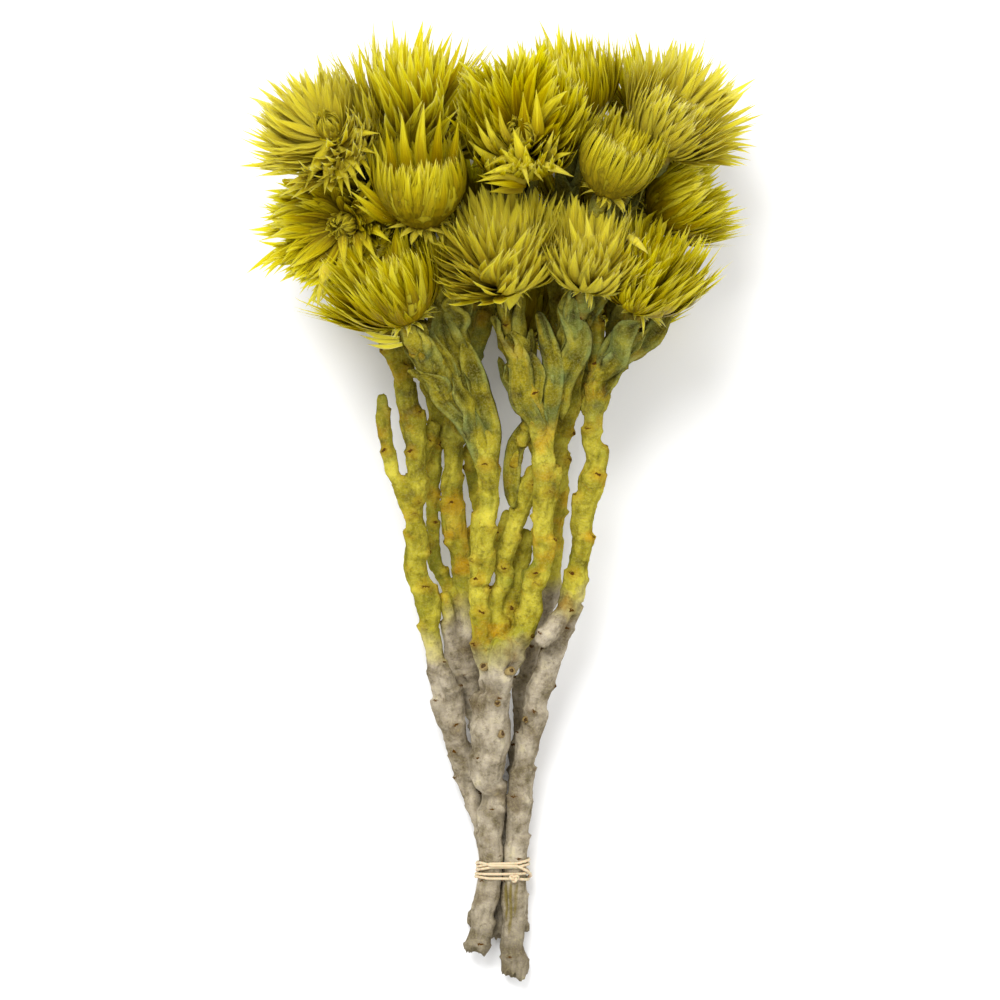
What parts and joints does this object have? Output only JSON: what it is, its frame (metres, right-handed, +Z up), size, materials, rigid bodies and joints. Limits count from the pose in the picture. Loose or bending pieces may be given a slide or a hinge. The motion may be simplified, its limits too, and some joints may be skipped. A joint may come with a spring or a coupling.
{
  "type": "dried strawflower bunch",
  "caption": "Bunch of dried yellow-green strawflowers on woolly forked stems, tied near the cut ends with a wound rubber band, lying on its side.",
  "frame": {"origin": "on the surface the bunch lies on, under the middle of its bounding box", "axes": "+Y from the cut stem ends to the flower heads, +Z up from the surface, +X to the right seen from above with the heads at the far end"},
  "size_m": [0.1714, 0.3362, 0.1094],
  "materials": {
    "bract": "dry papery bracts with a satin sheen, yellow-green",
    "stem": "felted and matt, olive and yellow-green above, grey-beige wool below",
    "band": "matt natural latex"
  },
  "bodies": {
    "root": {"head_a": "bract", "head_b": "bract", "head_c": "bract", "head_d": "bract", "head_e": "bract", "head_f": "bract", "head_g": "bract", "head_i": "bract", "head_j": "bract", "head_k": "bract", "head_l": "bract", "head_m": "bract", "head_o": "bract", "head_p": "bract", "head_q": "bract", "head_r": "bract", "head_s": "bract", "head_t": "bract", "head_u": "bract", "head_v": "bract", "head_w": "bract", "stem_front_left": "stem", "stem_front_right": "stem", "stem_left": "stem", "stem_middle": "stem", "stem_right": "stem", "rubber_band": "band"}
  },
  "joints": []
}
